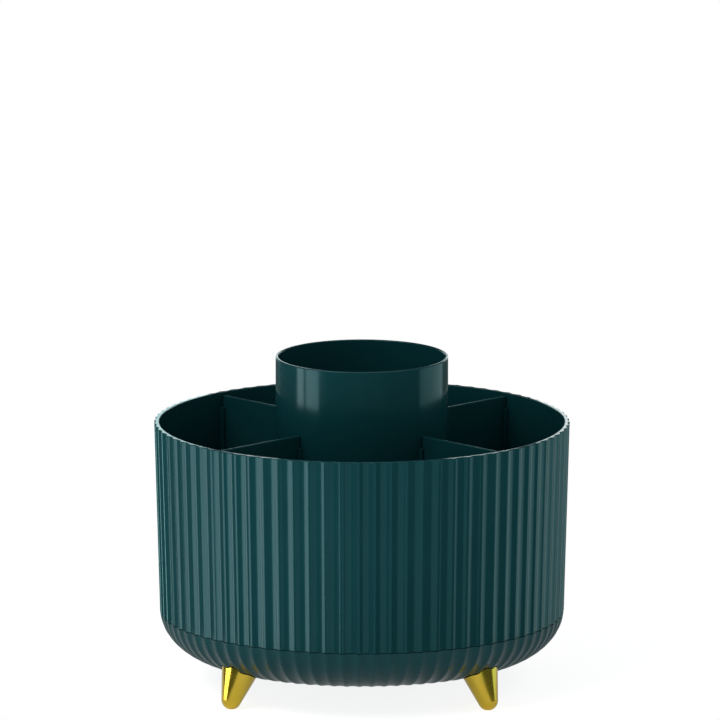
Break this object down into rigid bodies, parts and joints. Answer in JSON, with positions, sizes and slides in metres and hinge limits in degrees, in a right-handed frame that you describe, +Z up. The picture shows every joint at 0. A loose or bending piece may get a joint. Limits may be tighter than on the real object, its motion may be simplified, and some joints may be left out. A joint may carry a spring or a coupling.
{
  "type": "rotating makeup organizer",
  "caption": "Round fluted makeup tub that turns on a ball bearing over a bowl-shaped base on short splayed legs, with lift-out partitions and a tall cup in the middle.",
  "frame": {"origin": "on the ground under the turning axis, at the middle of the four leg tips", "axes": "+Z up along the turning axis; front towards -Y; legs and partitions on the diagonals between X and Y"},
  "size_m": [0.204, 0.204, 0.1632],
  "materials": {
    "teal_plastic": "dark teal moulded plastic, glossy",
    "gold_plating": "polished yellow gold",
    "bearing_steel": "bright rolled steel",
    "zinc_steel": "zinc plated",
    "natural_nylon": "natural white, waxy",
    "charcoal_plastic": "dark, fine grain"
  },
  "bodies": {
    "base": {"base_bowl": "teal_plastic", "base_deck": "charcoal_plastic", "leg_back_right": "gold_plating", "leg_back_left": "gold_plating", "leg_front_left": "gold_plating", "leg_front_right": "gold_plating", "lower_race": "bearing_steel", "pivot_washer": "zinc_steel", "pivot_screw": "zinc_steel", "deck_screw_01": "zinc_steel", "deck_screw_02": "zinc_steel", "deck_screw_03": "zinc_steel", "deck_screw_04": "zinc_steel", "leg_screw_01": "zinc_steel", "leg_screw_02": "zinc_steel", "leg_screw_03": "zinc_steel", "leg_screw_04": "zinc_steel"},
    "ball_cage": {"ball_cage": "natural_nylon", "bearing_ball_01": "bearing_steel", "bearing_ball_02": "bearing_steel", "bearing_ball_03": "bearing_steel", "bearing_ball_04": "bearing_steel", "bearing_ball_05": "bearing_steel", "bearing_ball_06": "bearing_steel", "bearing_ball_07": "bearing_steel", "bearing_ball_08": "bearing_steel", "bearing_ball_09": "bearing_steel", "bearing_ball_10": "bearing_steel", "bearing_ball_11": "bearing_steel", "bearing_ball_12": "bearing_steel"},
    "tub": {"tub": "teal_plastic", "upper_race": "bearing_steel", "pivot_bush": "natural_nylon"},
    "centre_cup": {"centre_cup": "teal_plastic"},
    "divider_back_right": {"divider_back_right": "teal_plastic"},
    "divider_back_left": {"divider_back_left": "teal_plastic"},
    "divider_front_left": {"divider_front_left": "teal_plastic"},
    "divider_front_right": {"divider_front_right": "teal_plastic"}
  },
  "joints": [
    {"name": "tub_spin", "type": "hinge", "parent": "base", "child": "tub", "pos_m": [0, 0, 0.0353], "axis": [0, 0, 1], "continuous": true},
    {"name": "cage_spin", "type": "hinge", "parent": "base", "child": "ball_cage", "pos_m": [0, 0, 0.0353], "axis": [0, 0, 1], "continuous": true},
    {"name": "cup_lift", "type": "slide", "parent": "tub", "child": "centre_cup", "axis": [0, 0, 1], "range_m": [0, 0.12]},
    {"name": "divider_back_right_lift", "type": "slide", "parent": "tub", "child": "divider_back_right", "axis": [0, 0, 1], "range_m": [0, 0.095]},
    {"name": "divider_back_left_lift", "type": "slide", "parent": "tub", "child": "divider_back_left", "axis": [0, 0, 1], "range_m": [0, 0.095]},
    {"name": "divider_front_left_lift", "type": "slide", "parent": "tub", "child": "divider_front_left", "axis": [0, 0, 1], "range_m": [0, 0.095]},
    {"name": "divider_front_right_lift", "type": "slide", "parent": "tub", "child": "divider_front_right", "axis": [0, 0, 1], "range_m": [0, 0.095]}
  ],
  "couplings": [
    {"joint": "cage_spin", "follows": "tub_spin", "ratio": 0.5}
  ]
}
